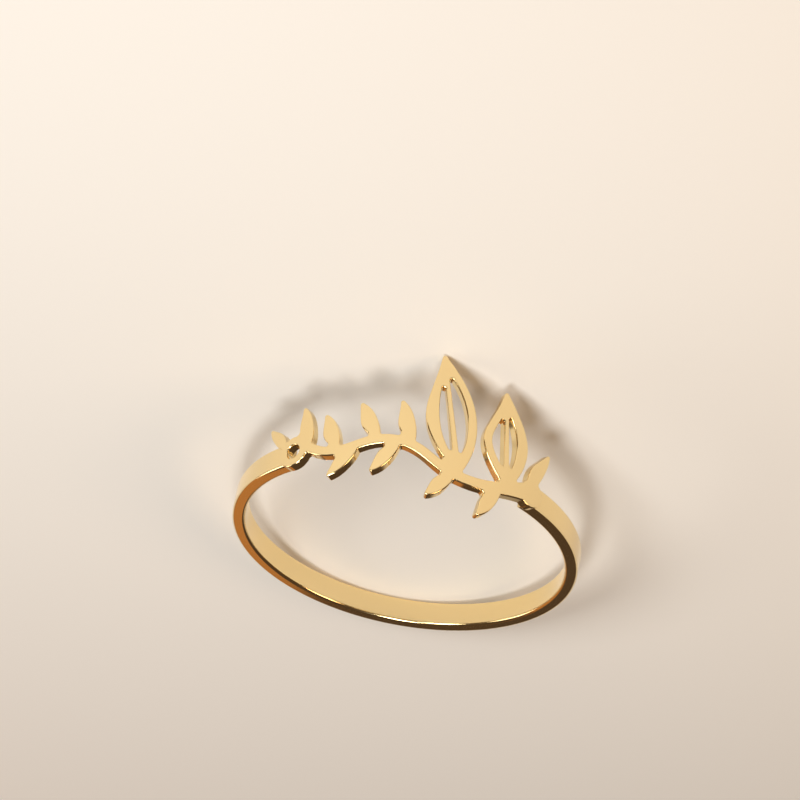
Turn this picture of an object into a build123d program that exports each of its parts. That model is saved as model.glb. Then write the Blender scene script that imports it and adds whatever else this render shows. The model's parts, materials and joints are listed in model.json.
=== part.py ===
"""A ring cast in one piece: a slim band whose two ends are joined by an openwork leafy vine.

The ring lies as it comes to rest: on the tip of its tallest leaf and on the far edge of the band.
Millimetres, +Z up, origin in the middle of the bore, the vine in front at -Y.
"""

from build123d import *

import os
from math import asin, atan2, ceil, cos, degrees, hypot, pi, radians, sin, tan

# Driving sizes
bore_diameter = 17.3  # inside of the band
band_width = 1.4  # along the ring's axis
band_wall = 0.7  # from the bore to the outside of the band
band_rounding = 0.16  # soft edges of the band
plate_lift = 0.3  # from the bore to the back of the vine
plate_wall = 0.55  # thickness of the vine
vine_span = 16.5  # round the ring, from the vine's left end to its right end
vine_height = 8.65  # along the ring's axis, from the lowest foot to the highest tip
thick_side_width = 0.72  # wide side of a tall leaf
thin_side_width = 0.5  # narrow side of a tall leaf
stem_width = 0.6  # stem in its middle
vein_width = 0.34  # rib inside a tall leaf
corner_radius = 0.12  # corners of the cut outline

# Worked out from them
bore_radius = bore_diameter / 2
band_outer = bore_radius + band_wall
plate_back = bore_radius + plate_lift
plate_front = plate_back + plate_wall
unroll_radius = (plate_back + plate_front) / 2

# How the outline is rolled and cut
smooth_angle = 8.0  # degrees below which two edges need no rounding
sharpest_corner = 0.2  # radians, the narrowest corner that is rounded in full
rounding_room = 0.35  # share of an edge that the rounding of its end may take
bend_step = 0.22  # spacing of the places where an edge is rolled
cutter_reach = 0.3  # how far a cut runs past the faces of the vine

# Places below are shares of the vine's span (across) and height (along the axis), from the front's middle

# Stem: across, along, width in stem widths
stem_points = [
    (-0.430, 0.050, 0.90),
    (-0.395, 0.020, 0.95),
    (-0.345, -0.025, 0.95),
    (-0.265, -0.030, 0.95),
    (-0.185, 0.030, 0.95),
    (-0.100, 0.060, 0.95),
    (-0.015, 0.020, 0.95),
    (0.070, -0.070, 1.00),
    (0.165, -0.105, 1.05),
    (0.260, -0.075, 1.20),
    (0.335, -0.025, 1.60),
    (0.385, 0.000, 1.90),
]

# Tall pierced leaves: root across and along, tip across and along, width in thick sides, belly, lean
# The belly is the widest place as a share of the length; the lean bows the leaf to its left
# The last column says which side of the leaf is the thick one
tall_leaves = [
    (0.120, -0.095, 0.000, 0.705, 3.75, 0.47, -0.12, "left"),
    (0.288, -0.070, 0.222, 0.585, 3.75, 0.46, -0.10, "right"),
]

# Small solid leaves, with the same columns
small_leaves = [
    (-0.480, 0.040, -0.580, 0.230, 0.95, 0.45, 0.30),
    (-0.385, 0.015, -0.440, 0.320, 1.20, 0.45, -0.35),
    (-0.280, -0.030, -0.350, 0.240, 1.25, 0.45, -0.35),
    (-0.210, 0.010, -0.305, -0.225, 1.15, 0.45, 0.35),
    (-0.150, 0.045, -0.235, 0.310, 1.25, 0.45, -0.35),
    (-0.080, 0.055, -0.165, -0.190, 1.15, 0.45, 0.35),
    (-0.040, 0.035, -0.105, 0.350, 1.25, 0.45, -0.35),
    (0.105, -0.090, 0.020, -0.290, 1.15, 0.45, 0.35),
    (0.265, -0.070, 0.195, -0.325, 1.15, 0.45, 0.35),
    (0.362, 0.010, 0.430, 0.330, 1.20, 0.45, -0.30),
]

# Knob at the right end: across, along, radius in thick sides
knob = (0.384, 0.000, 1.08)

# Curl at the left end: across, along, outer radius and hole radius in thick sides
curl = (-0.446, 0.000, 1.28, 0.58)

# Where the band ends under the vine, left and right
band_ends = (-0.482, 0.377)

# Inside a tall leaf, in thick sides from its root and tip, and the vein's width at its end as a share
hole_from_root = 1.3
hole_from_tip = 1.35
vein_from_root = 1.0
vein_taper = 0.7

# How a leaf's sides leave its root and close at its tip, as slopes against its axis
root_slope = 0.9
tip_slope = 0.45


def place(across, along):
    return Vector(across * vine_span, along * vine_height)


def aside_of(direction):
    return Vector(-direction.Y, direction.X)


def upward(face):
    """The same flat face with its normal up, so that it merges with others."""
    return face if face.normal_at().Z > 0 else -face


def ribbon(rows, full_width):
    """A flat strip of changing width along a smooth line."""
    spots = [place(across, along) for across, along, _ in rows]
    line = Edge.make_spline(spots)
    left, right = [], []
    for spot, (_, _, share) in zip(spots, rows):
        aside = aside_of(line.tangent_at(line.param_at_point(spot)))
        left.append(spot + aside * (full_width * share / 2))
        right.append(spot - aside * (full_width * share / 2))
    start = Edge.make_line(right[0], left[0])
    end = Edge.make_line(left[-1], right[-1])
    return upward(Face(Wire([Edge.make_spline(left), end, Edge.make_spline(right), start])))


def almond(root, tip, left, right, belly, lean):
    """A pointed oval; left and right are how far its sides bulge from the line between its ends."""
    axis = tip - root
    ahead = axis.normalized()
    aside = aside_of(ahead)
    sides = []
    for sign, bulge in ((1, left), (-1, right)):
        widest = root + axis * belly + aside * (sign * bulge)
        leaving = (ahead + aside * (sign * root_slope + lean)).normalized()
        arriving = (ahead - aside * (sign * tip_slope + lean)).normalized()
        sides.append(Edge.make_spline([root, widest, tip], tangents=[leaving, arriving]))
    return upward(Face(Wire(sides)))


def vein(root, tip):
    """A tapering rib along the middle of a leaf."""
    beside = aside_of((tip - root).normalized()) * (vein_width / 2)
    beside_tip = beside * vein_taper
    return upward(Face(Wire.make_polygon([root + beside, root - beside, tip - beside_tip, tip + beside_tip])))


def disc(middle, radius):
    """A flat round face."""
    return Pos(middle.X, middle.Y) * Circle(radius)


def flat_vine():
    """The vine as one flat face, unrolled."""
    flat = Sketch() + ribbon(stem_points, stem_width)
    for across, along, tip_across, tip_along, width, belly, lean in small_leaves:
        half = width * thick_side_width / 2
        flat += almond(place(across, along), place(tip_across, tip_along), half, half, belly, lean)
    for across, along, tip_across, tip_along, width, belly, lean, thick_side in tall_leaves:
        root = place(across, along)
        tip = place(tip_across, tip_along)
        ahead = (tip - root).normalized() * thick_side_width
        half = width * thick_side_width / 2
        hole_root = root + ahead * hole_from_root
        hole_tip = tip - ahead * hole_from_tip
        flat += almond(root, tip, half, half, belly, lean)
        left, right = half - thick_side_width, half - thin_side_width
        if thick_side == "right":
            left, right = right, left
        flat -= almond(hole_root, hole_tip, left, right, belly, lean)
        flat += vein(root + ahead * vein_from_root, hole_tip)
    across, along, radius = knob
    flat += disc(place(across, along), radius * thick_side_width)
    across, along, radius, hole_radius = curl
    flat += disc(place(across, along), radius * thick_side_width)
    flat -= disc(place(across, along), hole_radius * thick_side_width)
    return flat.faces().sort_by(SortBy.AREA)[-1]


def rounded_outline(wire):
    """The wire's edges in order, with a short curve in place of each corner."""
    edges = wire.order_edges()
    if len(edges) == 1:
        return edges
    after = edges[1:] + edges[:1]
    starts = [0.0] * len(edges)
    ends = [1.0] * len(edges)
    sharp = []
    for index, (edge, following) in enumerate(zip(edges, after)):
        turn = edge.tangent_at(1).get_angle(following.tangent_at(0))
        sharp.append(turn > smooth_angle)
        if sharp[index]:
            inside = max(sharpest_corner, pi - radians(turn))
            room = rounding_room * min(edge.length, following.length)
            setback = min(corner_radius / tan(inside / 2), room)
            ends[index] = 1 - setback / edge.length
            starts[(index + 1) % len(edges)] = setback / following.length
    trimmed = [edge.trim(start, end) for edge, start, end in zip(edges, starts, ends)]
    outline = []
    for edge, following, is_sharp in zip(trimmed, trimmed[1:] + trimmed[:1], sharp):
        outline.append(edge)
        if is_sharp:
            start, arriving = edge.position_at(1), edge.tangent_at(1)
            end, leaving = following.position_at(0), following.tangent_at(0)
            swell = (end - start).length / 2 * tan(radians(arriving.get_angle(leaving)) / 4)
            crest = (start + end) / 2 + (arriving - leaving).normalized() * swell
            outline.append(Edge.make_spline([start, crest, end], tangents=[arriving, leaving]))
    return outline


def bend(spot, radius):
    """A place in the flat outline, rolled round the ring at a radius."""
    angle = spot.X / unroll_radius
    return Vector(radius * sin(angle), -radius * cos(angle), spot.Y)


def bend_direction(spot, direction, radius):
    """A direction in the flat outline, rolled round the ring at a radius."""
    angle = spot.X / unroll_radius
    turn = direction.X * radius / unroll_radius
    return Vector(turn * cos(angle), turn * sin(angle), direction.Y).normalized()


def bend_edge(edge, radius):
    """An edge of the flat outline, rolled round the ring at a radius."""
    steps = max(4, ceil(edge.length / bend_step))
    spots = [bend(edge.position_at(step / steps), radius) for step in range(steps + 1)]
    if edge.is_closed:
        return Edge.make_spline(spots[:-1], periodic=True)
    directions = [bend_direction(edge.position_at(end), edge.tangent_at(end), radius) for end in (0, 1)]
    return Edge.make_spline(spots, tangents=directions)


def cut_wall(wire):
    """The wall that a cutter leaves along a wire of the flat outline, after it is rolled round the ring."""
    walls = []
    for edge in rounded_outline(wire):
        inner = bend_edge(edge, plate_back - cutter_reach)
        outer = bend_edge(edge, plate_front + cutter_reach)
        walls.append(Face.make_surface_from_curves(inner, outer))
    return Shell(walls)


def rolled_vine(flat):
    """The flat vine as a plate that follows the round of the ring, cut square to its own face."""
    tube = Cylinder(plate_front, 2 * vine_height) - Cylinder(plate_back, 2 * vine_height)
    tube = (Rot(0, 0, 90) * tube).solid()
    plate = min(tube.split(cut_wall(flat.outer_wire()), keep=Keep.ALL), key=lambda piece: piece.volume)
    for wire in flat.inner_wires():
        plate = max(plate.split(cut_wall(wire), keep=Keep.ALL), key=lambda piece: piece.volume)
    return plate


def band_arc():
    """The band round the back of the ring, with its two ends under the vine."""
    left, right = (degrees(share * vine_span / unroll_radius) for share in band_ends)
    section = RectangleRounded(band_wall, band_width, band_rounding)
    section = Plane.XZ * Pos(bore_radius + band_wall / 2, 0) * section
    return Rot(0, 0, right - 90) * revolve(section, Axis.Z, 360 - (right - left))


def resting_turn(reach):
    """How far the front rises when the ring lies on its tallest leaf and on the far edge of the band."""
    tip_angle = max(tall_leaves, key=lambda row: row[3])[2] * vine_span / unroll_radius
    ahead = band_outer - band_rounding + plate_back * cos(tip_angle)
    down = reach - (band_width / 2 - band_rounding)
    return degrees(atan2(down, ahead) + asin(-band_rounding / hypot(ahead, down)))


vine = rolled_vine(flat_vine())
ring = (band_arc() + vine).solid()
turn = resting_turn(vine.bounding_box().max.Z)
ring = Rot(-turn, 0, 0) * Rot(0, 180, 0) * ring
ring.label = "ring"

os.makedirs("parts", exist_ok=True)
export_step(ring, "parts/ring.step")

box = ring.bounding_box()
print(f"ring: {len(ring.solids())} solid, {len(ring.faces())} faces, {ring.volume:.2f} mm3, valid {ring.is_valid}")
print(f"box {box.min.X:.2f} {box.min.Y:.2f} {box.min.Z:.2f} to {box.max.X:.2f} {box.max.Y:.2f} {box.max.Z:.2f}")
print(f"front lifted by {turn:.2f} degrees")
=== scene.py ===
# %% [markdown]
# # A vine ring in polished gold
# This lesson dresses one small metal object: a slim ring whose band is joined at the front by a pierced
# leafy vine. The exact shape comes from the imported CAD model, which is called the frame. Here it gets what
# CAD leaves out: edges softened by polishing, a real gold finish, and a pale table under soft lights.
# Blender works in metres, so a ring is tiny: 0.0187 m across. The length of a millimetre is kept under a
# name.

import json
from math import atan2, cos, degrees, hypot, pi, radians, sin

import bmesh
import bpy
from mathutils import Matrix, Vector


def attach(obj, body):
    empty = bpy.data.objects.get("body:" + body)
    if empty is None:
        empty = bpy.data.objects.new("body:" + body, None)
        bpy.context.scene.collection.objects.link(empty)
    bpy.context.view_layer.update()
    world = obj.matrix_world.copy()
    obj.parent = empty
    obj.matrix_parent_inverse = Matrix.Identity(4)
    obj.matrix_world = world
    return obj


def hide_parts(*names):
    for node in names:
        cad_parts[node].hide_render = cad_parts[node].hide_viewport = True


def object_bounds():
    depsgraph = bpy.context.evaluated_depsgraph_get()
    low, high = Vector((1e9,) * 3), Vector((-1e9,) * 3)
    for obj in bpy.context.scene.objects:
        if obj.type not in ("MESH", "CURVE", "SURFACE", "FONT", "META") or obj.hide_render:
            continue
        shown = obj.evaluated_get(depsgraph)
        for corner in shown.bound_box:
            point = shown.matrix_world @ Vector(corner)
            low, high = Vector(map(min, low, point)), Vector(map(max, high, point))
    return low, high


MM = 0.001
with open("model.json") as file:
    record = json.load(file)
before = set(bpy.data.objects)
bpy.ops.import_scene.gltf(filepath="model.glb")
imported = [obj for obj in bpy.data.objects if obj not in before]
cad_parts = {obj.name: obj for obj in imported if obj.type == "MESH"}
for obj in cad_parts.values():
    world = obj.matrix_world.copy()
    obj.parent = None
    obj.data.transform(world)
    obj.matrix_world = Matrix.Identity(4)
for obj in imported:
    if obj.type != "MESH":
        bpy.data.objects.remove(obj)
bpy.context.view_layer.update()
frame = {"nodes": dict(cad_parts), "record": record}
cad_ring = frame["nodes"]["ring"]
bore_axis = Vector(frame["record"]["mounts"][0]["axis"]).normalized()

# %% [markdown]
# ## The ring, laid out flat
# Such a vine can be sawn out of flat sheet and rolled round a mandrel. Each place on the ring can be
# written as it would lie in that flat strip: along it, out from the middle of the bore, and across it.
# Along the strip goes the angle round the bore times the radius of the vine's face. The copy is in
# millimetres, because the modelling tools measure tiny lengths badly.

# %% Unroll a copy of the ring
WELD = 0.0005  # mm, closer than this is the same place
across = Vector((-1, 0, 0))
front = bore_axis.cross(across).normalized()
sideways = front.cross(bore_axis)


def out_from_axis(point):
    """How far a point of the ring lies from the middle of the bore."""
    return hypot(point.dot(sideways), point.dot(front))


vine = bmesh.new()
vine.from_mesh(cad_ring.data)
bmesh.ops.scale(vine, vec=(1 / MM, 1 / MM, 1 / MM), verts=vine.verts)
bmesh.ops.remove_doubles(vine, verts=vine.verts, dist=WELD)
FACE_RADIUS = max(out_from_axis(vert.co) for vert in vine.verts)


def unrolled(point):
    """A point of the ring as it lies in the strip."""
    angle = atan2(point.dot(sideways), point.dot(front))
    return Vector((angle * FACE_RADIUS, out_from_axis(point), point.dot(bore_axis)))


def rolled(point):
    """A point of the strip, back in its place round the bore."""
    angle = point.x / FACE_RADIUS
    return (sideways * sin(angle) + front * cos(angle)) * point.y + bore_axis * point.z


for vert in vine.verts:
    vert.co = unrolled(vert.co)
vine.normal_update()
print("the vine's face lies", round(FACE_RADIUS, 3), "mm from the bore's axis")

# %% [markdown]
# ## The band's own sizes
# At the back of the ring there is nothing but the band, so its wall and width can be measured there. Where
# the bore's surface stops, to the left and to the right of the vine, are the two ends of the band.

# %% Measure the band on the strip
BACK_OF_RING = 2.5  # radians from the middle of the vine
back = [vert.co for vert in vine.verts if abs(vert.co.x) > BACK_OF_RING * FACE_RADIUS]
BORE_RADIUS = min(spot.y for spot in back)
BAND_RADIUS = max(spot.y for spot in back)
BAND_HALF = max(abs(spot.z) for spot in back)
NEAR_BORE = 0.02  # mm
bore = [vert.co.x / FACE_RADIUS for vert in vine.verts if vert.co.y < BORE_RADIUS + NEAR_BORE]
BAND_LEFT = max(angle for angle in bore if angle < 0)
BAND_RIGHT = min(angle for angle in bore if angle > 0)
print("band from", round(BORE_RADIUS, 3), "to", round(BAND_RADIUS, 3), "mm from the bore's axis")
print("band", round(2 * BAND_HALF, 3), "mm wide")
print("its ends lie at", round(degrees(BAND_LEFT), 1), "and", round(degrees(BAND_RIGHT), 1), "degrees")

# %% [markdown]
# ## The vine, sawn from sheet
# Only the vine's face is kept of the CAD mesh. Its needle-thin triangles are joined into plain faces, so
# that nothing is left but the outline, and the outline is pushed back by the thickness of the sheet.

# %% Keep the vine's face and join its triangles
LEVEL = 0.003  # mm, how far a face may be off a radius and still lie on it
SHORTEST = 0.015  # mm, the shortest edge that is worth keeping
SAME_PLANE = radians(1)  # faces that turn by less than this are joined


def on_level(face, level):
    """True for a face that lies flat in the strip at a radius."""
    return all(abs(vert.co.y - level) < LEVEL for vert in face.verts)


spare = [face for face in vine.faces if not on_level(face, FACE_RADIUS)]
bmesh.ops.delete(vine, geom=spare, context="FACES")
bmesh.ops.dissolve_limit(vine, angle_limit=SAME_PLANE, verts=[], edges=vine.edges[:])
bmesh.ops.remove_doubles(vine, verts=vine.verts, dist=SHORTEST)
print("outline of", len(vine.verts), "points in", len(vine.faces), "faces")

# %% Push the face back into a sheet
SHEET = 0.55  # mm thick
pushed = bmesh.ops.extrude_face_region(vine, geom=vine.faces[:])
back_verts = [item for item in pushed["geom"] if isinstance(item, bmesh.types.BMVert)]
bmesh.ops.translate(vine, vec=(0, -SHEET, 0), verts=back_verts)
bmesh.ops.recalc_face_normals(vine, faces=vine.faces[:])
print("sheet of", SHEET, "mm,", sum(not edge.is_manifold for edge in vine.edges), "open edges")

# %% [markdown]
# ## Polished edges
# A sawn edge is sharp until the polishing wheel rounds it by somewhat less than a tenth of a millimetre.
# That thin rounding is what catches the light in a photograph. It could be faked in the shader, but here it
# is a real bevel in the mesh.

# %% Round the rims of the face and the back
POLISH = 0.08  # mm, radius of the rounding
POLISH_STEPS = 3
SHARP = radians(60)  # an edge that turns by more than this is a rim
rims = [edge for edge in vine.edges if edge.is_manifold and edge.calc_face_angle() > SHARP]
rims = [edge for edge in rims if abs(edge.verts[0].co.y - edge.verts[1].co.y) < LEVEL]
bmesh.ops.bevel(
    vine,
    geom=rims,
    offset=POLISH,
    offset_type="OFFSET",
    segments=POLISH_STEPS,
    profile=0.5,
    affect="EDGES",
    clamp_overlap=False,
    material=-1,
    loop_slide=False,
)
print("rounded", len(rims), "edges, faces now", len(vine.faces))

# %% [markdown]
# ## Clean flat sides
# The rounding leaves hair-thin slivers at the pointed tips and beside the holes, and a mirror shows each of
# them as a dark scratch. So the two flat sides are taken out, points that nearly touch are joined, and the
# open outline with its holes is filled afresh with well-shaped triangles.

# %% Fill the flat sides afresh
for level in (FACE_RADIUS, FACE_RADIUS - SHEET):
    sides = [face for face in vine.faces if on_level(face, level)]
    bmesh.ops.delete(vine, geom=sides, context="FACES")
    points = [vert for vert in vine.verts if vert.is_boundary]
    bmesh.ops.remove_doubles(vine, verts=points, dist=SHORTEST)
    outline = [edge for edge in vine.edges if edge.is_boundary]
    bmesh.ops.triangle_fill(vine, use_beauty=True, use_dissolve=False, edges=outline, normal=(0, 1, 0))
bmesh.ops.recalc_face_normals(vine, faces=vine.faces[:])
print("open edges", sum(not edge.is_manifold for edge in vine.edges), "faces now", len(vine.faces))

# %% [markdown]
# ## Rolled round the mandrel
# Before the strip is rolled its large faces are cut across every two degrees, or they would stay flat.
# What kind of surface each face is gets noted first, because that is easy to see on the flat strip. The
# edges and corners to cut are gathered as the keys of a dict, which keeps each one once and in its order.

# %% Cut the flat sides across, note the kinds of face, roll the strip
STEP = radians(2)
ON_CUT = 0.001  # mm, a point this near a cut counts as on it
STRAIGHT = 0.05  # how far a sawn wall's normal may lean out of the strip
BAND, FLAT, SAWN, ROUNDED, END = range(5)


def flat_side(face):
    """True for a face of the vine's front or back."""
    return on_level(face, FACE_RADIUS) or on_level(face, FACE_RADIUS - SHEET)


reach = max(abs(vert.co.x) for vert in vine.verts)
steps = int(reach / FACE_RADIUS / STEP)
for step in range(-steps, steps + 1):
    sides = [face for face in vine.faces if flat_side(face)]
    edges = dict.fromkeys(edge for face in sides for edge in face.edges)
    verts = dict.fromkeys(vert for face in sides for vert in face.verts)
    parts = [*sides, *edges, *verts]
    cut = (step * STEP * FACE_RADIUS, 0, 0)
    bmesh.ops.bisect_plane(vine, geom=parts, dist=ON_CUT, plane_co=cut, plane_no=(1, 0, 0))
vine.normal_update()
kind = vine.faces.layers.int.new("kind")
for face in vine.faces:
    face[kind] = FLAT if flat_side(face) else SAWN if abs(face.normal.y) < STRAIGHT else ROUNDED
for vert in vine.verts:
    vert.co = rolled(vert.co)
vine.normal_update()
print("rolled", len(vine.faces), "faces")

# %% [markdown]
# ## The band, a bent bar
# The band is a bar with rounded edges, bent round the mandrel. Here its section is spun round the bore's
# axis, from the one end under the vine to the other. The section starts as a square with sides of 1 mm,
# which is stretched to the band's wall and width before its corners are rounded.

# %% Spin the band's section
BAND_ROUNDING = 0.16  # mm
BAND_STEPS = 5
AROUND = 2 * pi - (BAND_RIGHT - BAND_LEFT)
square = bmesh.ops.create_grid(vine, x_segments=1, y_segments=1, size=0.5)["verts"]
bmesh.ops.scale(vine, vec=(BAND_RADIUS - BORE_RADIUS, 2 * BAND_HALF, 1), verts=square)
section = bmesh.ops.bevel(
    vine,
    geom=square,
    offset=BAND_ROUNDING,
    offset_type="OFFSET",
    segments=BAND_STEPS,
    profile=0.5,
    affect="VERTICES",
    material=-1,
)
section_face = section["verts"][0].link_faces[0]
middle = rolled(Vector((BAND_RIGHT * FACE_RADIUS, (BORE_RADIUS + BAND_RADIUS) / 2, 0)))
outward = middle.normalized()
stand_up = Matrix((outward, bore_axis, outward.cross(bore_axis))).transposed().to_4x4()
bmesh.ops.transform(vine, matrix=Matrix.Translation(middle) @ stand_up, verts=section_face.verts[:])
bmesh.ops.spin(
    vine,
    geom=[section_face, *section_face.edges, *section_face.verts],
    cent=(0, 0, 0),
    axis=-bore_axis,
    dvec=(0, 0, 0),
    angle=AROUND,
    steps=int(AROUND / STEP),
)
bar_faces = [face for face in vine.faces if face[kind] == BAND]
bmesh.ops.recalc_face_normals(vine, faces=bar_faces)
for face in bar_faces:
    face[kind] = END if len(face.verts) > 4 else BAND
print("bar of", len(bar_faces), "faces,", sum(not edge.is_manifold for edge in vine.edges), "open edges")

# %% [markdown]
# ## Normals that follow the true surfaces
# Polished metal is a mirror, and a mirror shows every small error of its normals. The vine's flat sides are
# parts of cylinders round the bore, so their true normals are known: straight out from the bore's axis,
# or straight in. The band's normals point away from the nearest place on a thinner bar inside it. On the
# sawn walls only the walls count, and the rounded rims run from the one to the other.

# %% Work out the normal of each vertex


def clamp(value, low, high):
    """The value, or the limit that it has passed."""
    return min(max(value, low), high)


def true_normal(vert):
    """The normal that a vertex has on the real surface."""
    kinds = {face[kind] for face in vert.link_faces}
    along = vert.co.dot(bore_axis)
    outward = (vert.co - bore_axis * along).normalized()
    if kinds <= {BAND, END}:
        out = vert.co.dot(outward)
        core_out = clamp(out, BORE_RADIUS + BAND_ROUNDING, BAND_RADIUS - BAND_ROUNDING)
        core_along = clamp(along, BAND_ROUNDING - BAND_HALF, BAND_HALF - BAND_ROUNDING)
        return (outward * (out - core_out) + bore_axis * (along - core_along)).normalized()
    if FLAT in kinds:
        return outward if vert.co.dot(outward) > FACE_RADIUS - SHEET / 2 else -outward
    if SAWN in kinds:
        walls = [face for face in vert.link_faces if face[kind] == SAWN]
        return sum((face.normal * face.calc_area() for face in walls), Vector()).normalized()
    return vert.normal.copy()


vine.normal_update()
normals = [true_normal(vert) for vert in vine.verts]
print("worked out", len(normals), "normals")

# %% [markdown]
# ## One piece on the bench
# The shape goes back to metres and becomes one object, because the real ring is one piece of metal. In the
# mesh the vine and the band stay two closed shells, which run into each other where the band's ends meet the
# vine. The object stands for the plain ring of the frame, which is hidden. Each corner of a face is given
# its own normal, so that the two ends of the band stay flat while all the rest is smooth.

# %% Make the ring's object
bmesh.ops.scale(vine, vec=(MM, MM, MM), verts=vine.verts)
for face in vine.faces:
    face.smooth = True
ring_mesh = bpy.data.meshes.new("polished_ring")
vine.to_mesh(ring_mesh)
vine.free()
kinds = [item.value for item in ring_mesh.attributes["kind"].data]
corners = []
for face, face_kind in zip(ring_mesh.polygons, kinds):
    corners += [face.normal if face_kind == END else normals[index] for index in face.vertices]
ring_mesh.attributes.remove(ring_mesh.attributes["kind"])
ring_mesh.normals_split_custom_set(corners)
ring = bpy.data.objects.new("polished_ring", ring_mesh)
bpy.context.scene.collection.objects.link(ring)
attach(ring, "root")
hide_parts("ring")
print("the ring has", len(ring_mesh.polygons), "faces")

# %% [markdown]
# ## Gold
# Yellow gold alloy, cast, tumbled and polished. A metal has no colour of its own under its shine: all that
# is seen is the room, tinted. Polishing leaves hairlines of about 0.005 mm, far too fine to see one by one,
# and they soften the reflections a little. Here that softness changes over 0.25 mm, fifty times as coarse as
# the hairlines, because finer changes would be lost between two pixels. A buffing wheel also leaves very
# shallow waves some 2 mm long, which keep large reflections from looking like those of a machined mirror.
# Both patterns are noise on Object coordinates, so they stay on the metal from wherever it is seen.

# %% A helper for colours and one for nodes


def linear(hex_colour):
    """A colour as written for the web, turned to the linear values that shaders use."""
    values = [int(hex_colour[start : start + 2], 16) / 255 for start in (1, 3, 5)]
    return tuple(v / 12.92 if v <= 0.04045 else ((v + 0.055) / 1.055) ** 2.4 for v in values) + (1.0,)


def add_node(tree, kind, settings=None, links=None):
    """Adds a node, gives its sockets and properties their values and joins its inputs."""
    node = tree.nodes.new(kind)
    for name, value in (settings or {}).items():
        if name in node.inputs:
            node.inputs[name].default_value = value
        else:
            setattr(node, name, value)
    for name, source in (links or {}).items():
        tree.links.new(source, node.inputs[name])
    return node


# %% Polished yellow gold
HAIRLINE_MM = 0.25
WAVE_MM = 2.4
WAVE_DEPTH_MM = 0.05
WAVE_STRENGTH = 0.03  # how much of the bump is let through
GLOSSIEST = 0.12  # roughness where the hairlines are few
DULLEST = 0.15  # roughness where they are dense
gold = bpy.data.materials.new("polished_yellow_gold_cast")
gold.use_nodes = True
tree = gold.node_tree
tree.nodes.clear()
place = add_node(tree, "ShaderNodeTexCoord")
waves = add_node(
    tree,
    "ShaderNodeTexNoise",
    {"Scale": 1 / (WAVE_MM * MM), "Detail": 1.0},
    {"Vector": place.outputs["Object"]},
)
hairlines = add_node(
    tree,
    "ShaderNodeTexNoise",
    {"Scale": 1 / (HAIRLINE_MM * MM), "Detail": 3.0},
    {"Vector": place.outputs["Object"]},
)
softness = add_node(
    tree,
    "ShaderNodeMapRange",
    {"From Min": 0.3, "From Max": 0.7, "To Min": GLOSSIEST, "To Max": DULLEST},
    {"Value": hairlines.outputs["Fac"]},
)
bump = add_node(
    tree,
    "ShaderNodeBump",
    {"Strength": WAVE_STRENGTH, "Distance": WAVE_DEPTH_MM * MM},
    {"Height": waves.outputs["Fac"]},
)
metal = add_node(
    tree,
    "ShaderNodeBsdfPrincipled",
    {"Base Color": linear("#F9E0A8"), "Metallic": 1.0},
    {"Roughness": softness.outputs["Result"], "Normal": bump.outputs["Normal"]},
)
add_node(tree, "ShaderNodeOutputMaterial", {}, {"Surface": metal.outputs["BSDF"]})
ring_mesh.materials.clear()
ring_mesh.materials.append(gold)
print("gold of", len(tree.nodes), "nodes")

# %% [markdown]
# ## Table
# The ring lies by itself on a plain pale table, on the tip of its tallest leaf and the far edge of the band.
# The table is one large square of matt paper, put at the height of the ring's lowest point.

# %% A pale table under the ring
TABLE_HALF = 0.6  # metres from its middle to its side
floor_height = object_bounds()[0][2]
table_mesh = bmesh.new()
bmesh.ops.create_grid(table_mesh, x_segments=1, y_segments=1, size=TABLE_HALF)
bmesh.ops.translate(table_mesh, vec=(0, 0, floor_height), verts=table_mesh.verts)
table_data = bpy.data.meshes.new("table")
table_mesh.to_mesh(table_data)
table_mesh.free()
table = bpy.data.objects.new("table", table_data)
bpy.context.scene.collection.objects.link(table)
paper = bpy.data.materials.new("matt_paper")
paper.use_nodes = True
paper_shader = paper.node_tree.nodes["Principled BSDF"]
paper_shader.inputs["Base Color"].default_value = linear("#EEECE9")
paper_shader.inputs["Roughness"].default_value = 0.9
table_data.materials.append(paper)
print("table at", round(floor_height / MM, 2), "mm")

# %% [markdown]
# ## Camera
# The photograph was taken from the front, 28 degrees above the plane of the band, with a long lens. In the
# ring's own terms the camera keeps that angle. Lying down, the ring is upside down against a worn one, so
# the camera is rolled to show it the way up that it is worn.

# %% Place the camera as in the photograph
VIEW_ABOVE_BAND = radians(28.4)
ROLL = radians(11.6)
PIXELS_PER_MM = 18.75
IMAGE_PIXELS = 800
RING_MIDDLE = (406.6, 534.4)  # pixels from the picture's left and top
CAMERA_DISTANCE = 0.6  # metres
SENSOR_MM = 36
NEAREST = 0.01  # metres, what is nearer to the camera isn't shown
FARTHEST = 10  # metres

to_camera = front * cos(VIEW_ABOVE_BAND) + bore_axis * sin(VIEW_ABOVE_BAND)
level_up = front * sin(VIEW_ABOVE_BAND) - bore_axis * cos(VIEW_ABOVE_BAND)
image_right = across * cos(ROLL) + level_up * sin(ROLL)
image_up = level_up * cos(ROLL) - across * sin(ROLL)
half = IMAGE_PIXELS / 2
aim = image_right * (half - RING_MIDDLE[0]) - image_up * (half - RING_MIDDLE[1])
aim = aim * (MM / PIXELS_PER_MM)
camera_data = bpy.data.cameras.new("camera")
camera_data.sensor_width = SENSOR_MM
camera_data.lens = SENSOR_MM * CAMERA_DISTANCE / (IMAGE_PIXELS / PIXELS_PER_MM * MM)
camera_data.clip_start = NEAREST
camera_data.clip_end = FARTHEST
camera = bpy.data.objects.new("camera", camera_data)
bpy.context.scene.collection.objects.link(camera)
turn = Matrix((image_right, image_up, to_camera)).transposed().to_4x4()
camera.matrix_world = Matrix.Translation(aim + to_camera * CAMERA_DISTANCE) @ turn
bpy.context.scene.camera = camera
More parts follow.
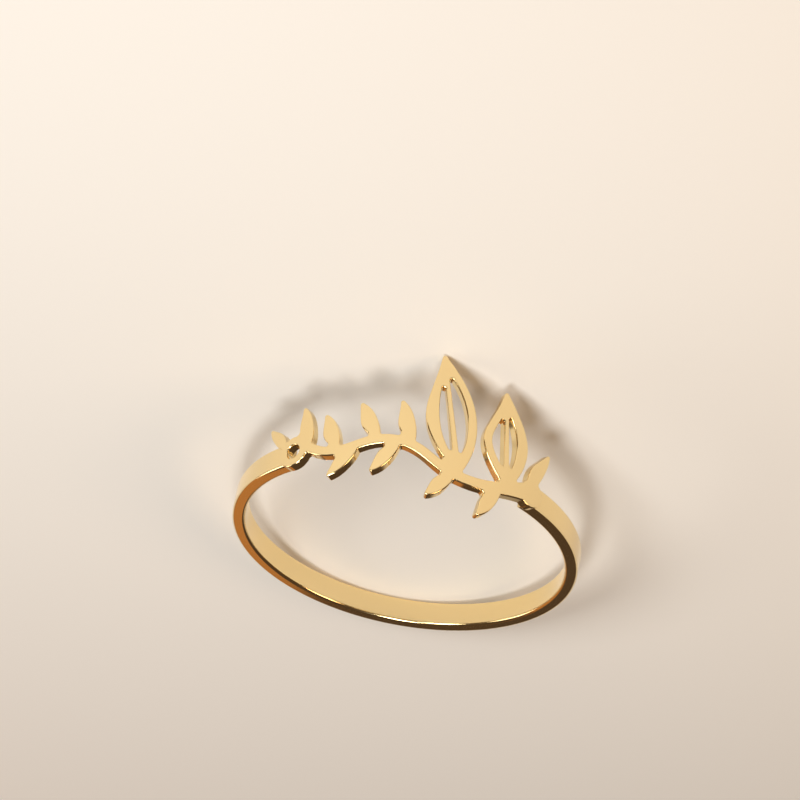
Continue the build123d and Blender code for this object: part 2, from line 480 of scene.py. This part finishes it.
print("camera looks down by", round(to_camera.z, 3), "lens", round(camera_data.lens))

# %% [markdown]
# ## Light
# Jewellery is lit by what it mirrors. The vine's face mirrors the table, so one large soft key light from
# the left of the picture makes the table, and with it the face, pale, and a weak warm fill does the same at
# the right. The small box overhead draws the bright lines on the lower rims, the edge strip the one along
# the band at the left, and the front card shows in the face when the ring is seen from lower down. The warm
# card behind turns the lower walls amber. Around them the room stays dim, so that the other walls go dark.
# Each light is a row: its name, its place, the place that it looks at, its width and height, its power in
# watts, and its colour. The lengths are in millimetres: the lights are small and stand close, as the ring is
# small.

# %% Soft studio lights


def softbox(name, place_mm, aim_mm, width_mm, height_mm, power, colour):
    """A rectangular area light at one place that looks at another."""
    light = bpy.data.lights.new(name, "AREA")
    light.shape = "RECTANGLE"
    light.size = width_mm * MM
    light.size_y = height_mm * MM
    light.energy = power
    light.color = linear(colour)[:3]
    lamp = bpy.data.objects.new(name, light)
    bpy.context.scene.collection.objects.link(lamp)
    place, aim = Vector(place_mm), Vector(aim_mm)
    lamp.location = place * MM
    lamp.rotation_euler = (place - aim).to_track_quat("Z", "Y").to_euler()


softbox("overhead", (8, -28, 95), (0, -20, 0), 36, 24, 0.042, "#FFFDF8")
softbox("key", (86, -88, 92), (0, -20, 0), 64, 64, 0.108, "#FFFBF4")
softbox("edge_strip", (98, 22, 36), (6, 0, 0), 74, 34, 0.024, "#FFF8EC")
softbox("fill", (-90, -60, 60), (0, -8, 0), 50, 50, 0.045, "#FFDCB4")
softbox("warm_card", (40, 62, 20), (0, 0, 6), 84, 34, 0.0035, "#FFAA58")
softbox("front_card", (0, -160, 55), (0, -8, 0), 170, 70, 0.024, "#FFEFD8")
ROOM_STRENGTH = 0.16
world = bpy.data.worlds.new("dim_room")
world.use_nodes = True
room = world.node_tree.nodes["Background"]
room.inputs["Color"].default_value = linear("#B89880")
room.inputs["Strength"].default_value = ROOM_STRENGTH
bpy.context.scene.world = world
bpy.context.scene.view_settings.view_transform = "Standard"
print("lit by", len(bpy.data.lights), "lights")
